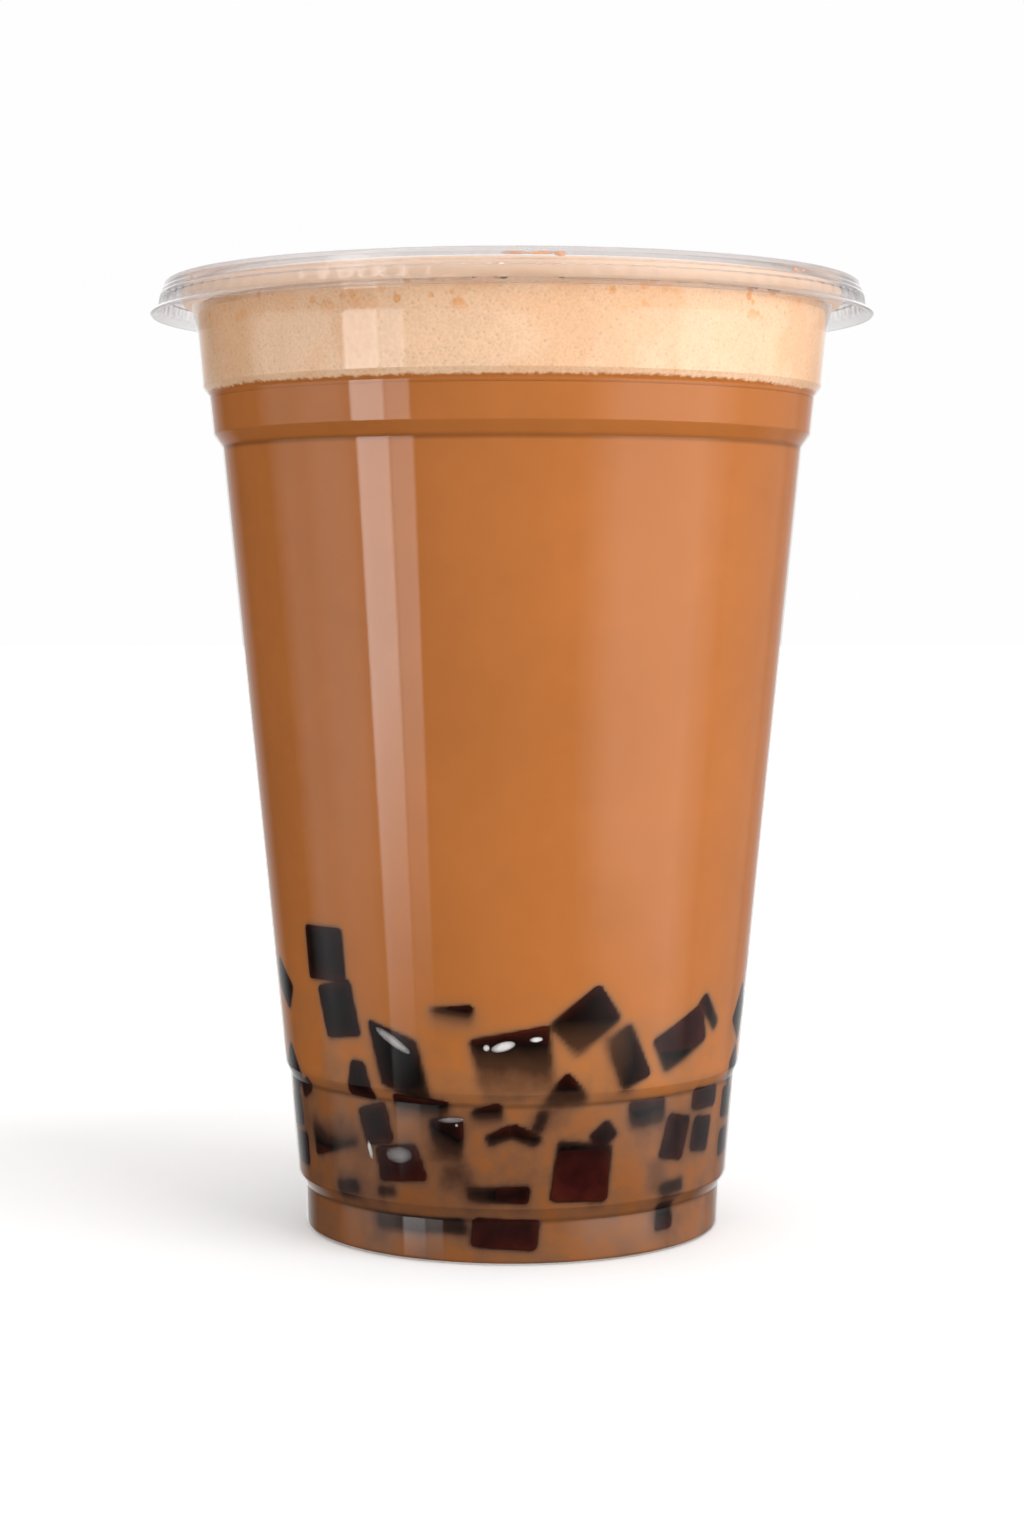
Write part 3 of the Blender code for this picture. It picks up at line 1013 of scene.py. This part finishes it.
under_side[-1] = Vector((LIP_RADIUS - 0.3 * MM, LIP_HEIGHT))
lid_bm = spun(top_side + under_side[::-1], RIBS * COLUMNS_PER_RIB)
print("points on the lid's top side:", len(top_side))


# %% Ribs on the lid's skirt
def ease(value, low, high):
    """A share that goes from 0 at low to 1 at high, and may run downwards."""
    return min(max((value - low) / (high - low), 0), 1)


for vert in lid_bm.verts:
    x, y, z = vert.co
    radius = vert.co.xy.length
    in_band = ease(z, RIBS_TOP, RIBS_TOP - 0.2 * MM) * ease(z, RIBS_FOOT, RIBS_FOOT + 0.3 * MM)
    if in_band > 0 and radius > 50.5 * MM:
        groove = RIB_DEPTH * (0.5 - 0.5 * math.cos(math.atan2(y, x) * RIBS)) * in_band
        vert.co.xy *= (radius - groove) / radius
lid_bm.normal_update()
lid = finished("clear_lid", lid_bm)
lid.data.materials.append(LID_SHEET_FILM)
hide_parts("lid")
print("lid faces:", len(lid.data.polygons))

# %% [markdown]
# ## Smears of foam under the lid
# Foam that splashed up while the cup was carried dries in small patches just under the lid. They
# could be painted on the clear sheet, but it is thin and has no colour of its own to mix them with.
# They are flat drops, made as the painted glints are, in the foam's warmer colour.

# %% Smears
# Each row is angle, height, width, tall, spin and how opaque it is.
SMEAR_RADIUS = 50.6 * MM
SMEARS = [
    (0.4, 139.4, 4.0, 0.5, 0, 0.7),
    (4.4, 139.4, 4.2, 0.5, 2, 0.9),
    (7.2, 139.3, 1.8, 0.7, 0, 1.0),
    (50.4, 139.2, 1.7, 0.6, 10, 0.9),
    (52.6, 139.2, 1.1, 0.5, 0, 0.8),
    (-63.0, 139.2, 1.5, 0.5, 0, 0.7),
    (132.0, 139.3, 3.6, 0.6, 0, 0.9),
    (214.0, 139.3, 2.2, 0.6, 5, 0.9),
    (219.0, 139.2, 1.2, 0.5, 0, 0.8),
]
smears = flat_drops("foam_smears", SMEARS, lambda level: SMEAR_RADIUS)
dried_foam = drop_material("dried_foam", colour(214, 146, 98), colour(238, 182, 134), 0.5)
smears.data.materials.append(dried_foam)
print("smears:", len(SMEARS))

# %% [markdown]
# ## Floor
# A white floor that runs into a white surround makes the picture plain. A floor as bright as it
# looks would light the foot of the cup too strongly from below, so this one shows the camera more
# light than it sends to the cup. What it shows glows, and more so with distance, which hides where
# the floor ends.

# %% Floor
FLOOR_HALF_SIZE = 4
floor_bm = bmesh.new()
bmesh.ops.create_grid(floor_bm, x_segments=1, y_segments=1, size=FLOOR_HALF_SIZE)
floor = finished("floor", floor_bm)
floor.visible_glossy = False


def straight_rays(tree):
    """1 for what the camera sees, also through clear pieces, and 0 for light on its way round."""
    rays = add(tree, "ShaderNodeLightPath")
    return combined(tree, "MAXIMUM", rays.outputs["Is Camera Ray"], rays.outputs["Is Transmission Ray"])


def make_floor_material():
    """A floor that is white for the camera, whiter far away, and greyer for the light it returns."""
    material, tree, shader = principled("white_floor", Base_Color=(0.91, 0.91, 0.91, 1), Roughness=0.9)
    shader.inputs["Specular IOR Level"].default_value = 0.0
    shader.inputs["Emission Color"].default_value = (1, 1, 1, 1)
    place = add(tree, "ShaderNodeTexCoord")
    away = add(tree, "ShaderNodeVectorMath", operation="LENGTH")
    tree.links.new(place.outputs["Object"], away.inputs[0])
    glow = spread(tree, away.outputs["Value"], 0.1, 0.6, 0.07, 1.0)
    tree.links.new(glow, shader.inputs["Emission Strength"])
    grey = add(tree, "ShaderNodeBsdfDiffuse", Color=(0.65, 0.65, 0.65, 1))
    mix = add(tree, "ShaderNodeMixShader")
    tree.links.new(straight_rays(tree), mix.inputs[0])
    tree.links.new(grey.outputs[0], mix.inputs[1])
    tree.links.new(shader.outputs[0], mix.inputs[2])
    tree.links.new(mix.outputs[0], tree.nodes["Material Output"].inputs["Surface"])
    return material


floor.data.materials.append(make_floor_material())
print(f"floor: {2 * FLOOR_HALF_SIZE} m square")

# %% [markdown]
# ## What the wall mirrors
# In a studio the cup stands among panels and black cloth, and its wall mirrors them as upright
# bands. Real panels could stand round it, but they would light the tea as well. Here the surround
# shows only mirrored rays a dark room with a bright strip and two dim panels on the left, a faint
# one in front, a broad soft one on the right and a dim one past it. It is bright behind the cup and
# above the horizon, for the outline of the cup and for the lid. The floor is left out of the mirror,
# since the wall leans over it and would show nothing else.

# %% Directions in the surround
world = bpy.data.worlds.new("white_surround")
bpy.context.scene.world = world
world.use_nodes = True
sky = world.node_tree
toward = add(sky, "ShaderNodeTexCoord")
direction = add(sky, "ShaderNodeSeparateXYZ")
sky.links.new(toward.outputs["Generated"], direction.inputs[0])
in_front = combined(sky, "MULTIPLY", direction.outputs["Y"], -1)
turned = combined(sky, "ARCTAN2", direction.outputs["X"], in_front)
azimuth = combined(sky, "MULTIPLY", turned, 180 / math.pi)
raised = combined(sky, "ARCSINE", direction.outputs["Z"], 0)
elevation = combined(sky, "MULTIPLY", raised, 180 / math.pi)

# %% Panels
DARK_ROOM = 0.03
BRIGHT = 0.8

# Each row is two azimuths from the front, how soft the sides are, the radiance, and the elevations
# at which the panel begins and has its full strength. All but the radiance are in degrees.
PANELS = [
    (-62.5, -48.5, 1.5, 4.7, -21.5, -13.5),
    (-48, -38.5, 1.5, 2.4, -21.5, -13.5),
    (-106, -63, 12, 0.62, -22, -14),
    (-85, -63, 10, 0.35, -22, -14),
    (35, 88, 18, 1.35, -21.5, -17),
    (-38, 30, 8, 0.12, -22, -14),
    (92, 142, 16, 0.3, -30, -20),
]


def panel(first, last, soft, radiance, lowest, full):
    """The light of one panel, which fades out at its sides and towards its foot."""
    off_centre = combined(sky, "ABSOLUTE", combined(sky, "SUBTRACT", azimuth, (first + last) / 2), 0)
    half = (last - first) / 2
    across = spread(sky, off_centre, half + soft / 2, half - soft / 2)
    up = spread(sky, elevation, lowest, full)
    return combined(sky, "MULTIPLY", combined(sky, "MULTIPLY", across, up), radiance)


behind = spread(sky, combined(sky, "ABSOLUTE", azimuth, 0), 140, 166, 0, BRIGHT)
overhead = spread(sky, elevation, 0, 14, 0, BRIGHT)
mirrored = DARK_ROOM
for light in [panel(*row) for row in PANELS] + [behind, overhead]:
    mirrored = combined(sky, "ADD", light, mirrored)
print("panels in the mirror:", len(PANELS))

# %% The surround's light
SEEN_WHITE = 0.99
rays = add(sky, "ShaderNodeLightPath")
plain = spread(sky, straight_rays(sky), 0, 1, 1.0, SEEN_WHITE)
strength = add(sky, "ShaderNodeMix", data_type="FLOAT")
sky.links.new(rays.outputs["Is Glossy Ray"], strength.inputs[0])
sky.links.new(plain, strength.inputs[2])
sky.links.new(mirrored, strength.inputs[3])
sky.links.new(strength.outputs[0], sky.nodes["Background"].inputs["Strength"])
sky.nodes["Background"].inputs["Color"].default_value = (1, 1, 1, 1)
print("nodes in the surround:", len(sky.nodes))

# %% [markdown]
# ## Softbox
# One large lamp on the right gives the drink its brighter side and throws a soft shadow to the left.
# A small lamp would be simpler, but its shadow has a hard edge. One as large as this wraps its light
# round the cup and leaves a shadow that is firm at the foot and melts away from it. It stays out of
# the mirror, which has panels of its own.

# %% Softbox
SOFTBOX_AZIMUTH = math.radians(52)
SOFTBOX_DISTANCE = 0.9
SOFTBOX_HEIGHT = 0.45
SOFTBOX_SIZE = (0.75, 0.8)
SOFTBOX_RADIANCE = 3.6
SOFTBOX_AIM = 0.07

lamp = bpy.data.lights.new("right_softbox", "AREA")
lamp.shape = "RECTANGLE"
lamp.size, lamp.size_y = SOFTBOX_SIZE
lamp.energy = SOFTBOX_RADIANCE * math.pi * lamp.size * lamp.size_y
softbox = bpy.data.objects.new("right_softbox", lamp)
softbox.location = on_circle(SOFTBOX_AZIMUTH, SOFTBOX_DISTANCE, SOFTBOX_HEIGHT)
aim = Vector((0, 0, SOFTBOX_AIM)) - softbox.location
softbox.rotation_euler = aim.to_track_quat("-Z", "Y").to_euler()
softbox.visible_camera = False
softbox.visible_glossy = False
bpy.context.scene.collection.objects.link(softbox)
print(f"softbox: {lamp.energy:.2f} W")
